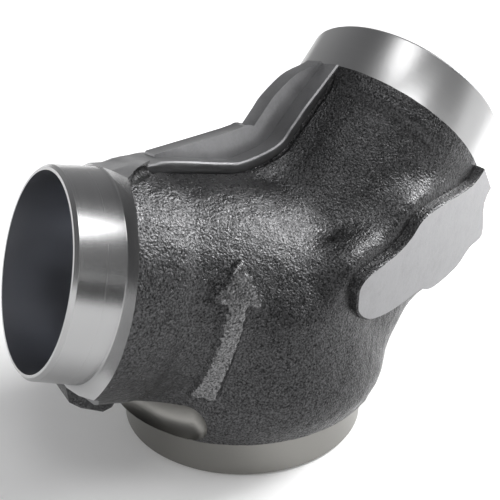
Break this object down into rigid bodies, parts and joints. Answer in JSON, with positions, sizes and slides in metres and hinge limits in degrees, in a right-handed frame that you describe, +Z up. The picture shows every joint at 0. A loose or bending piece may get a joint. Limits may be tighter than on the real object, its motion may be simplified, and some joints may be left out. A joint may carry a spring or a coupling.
{
  "type": "y strainer",
  "caption": "Steel Y strainer body with weld ends, holding a screen basket under a recessed bolted cover with a blow-down plug.",
  "frame": {"origin": "under the middle of the overall length, on the plane that the inlet weld end stands on", "axes": "+Z up along the inlet axis; the outlet points to -X and a little up, the access end to +X and up; all three axes lie in the XZ plane"},
  "size_m": [0.1833, 0.101, 0.1327],
  "materials": {
    "rough_steel": "shot-blasted dark steel casting with bright turned weld ends",
    "bright_steel": "turned",
    "stainless": "mill finish",
    "zinc_plate": "zinc plated",
    "graphite_gasket": "matt graphite sheet",
    "brass_trim": "turned"
  },
  "bodies": {
    "root": {"body": "rough_steel", "seat_ring": "stainless"},
    "basket": {"screen_tube": "stainless", "screen_mesh": "stainless", "basket_top_ring": "stainless", "basket_foot_ring": "stainless", "basket_bail": "stainless"},
    "cover": {"access_cover": "bright_steel", "cover_gasket": "graphite_gasket", "hold_down_spring": "stainless", "cover_screw_1": "zinc_plate", "cover_screw_2": "zinc_plate", "cover_screw_3": "zinc_plate", "cover_screw_4": "zinc_plate", "cover_screw_5": "zinc_plate", "cover_screw_6": "zinc_plate", "spring_washer_1": "zinc_plate", "spring_washer_2": "zinc_plate", "spring_washer_3": "zinc_plate", "spring_washer_4": "zinc_plate", "spring_washer_5": "zinc_plate", "spring_washer_6": "zinc_plate"},
    "plug": {"blow_down_plug": "brass_trim", "plug_seal": "graphite_gasket"}
  },
  "joints": [
    {"name": "cover_slide", "type": "slide", "parent": "root", "child": "cover", "axis": [0.6481, 0, 0.7615], "range_m": [0, 0.18]},
    {"name": "basket_slide", "type": "slide", "parent": "root", "child": "basket", "axis": [0.6481, 0, 0.7615], "range_m": [0, 0.09]},
    {"name": "plug_slide", "type": "slide", "parent": "cover", "child": "plug", "axis": [0.6481, 0, 0.7615], "range_m": [0, 0.04]}
  ],
  "couplings": [
    {"joint": "basket_slide", "follows": "cover_slide", "ratio": 0.5}
  ]
}
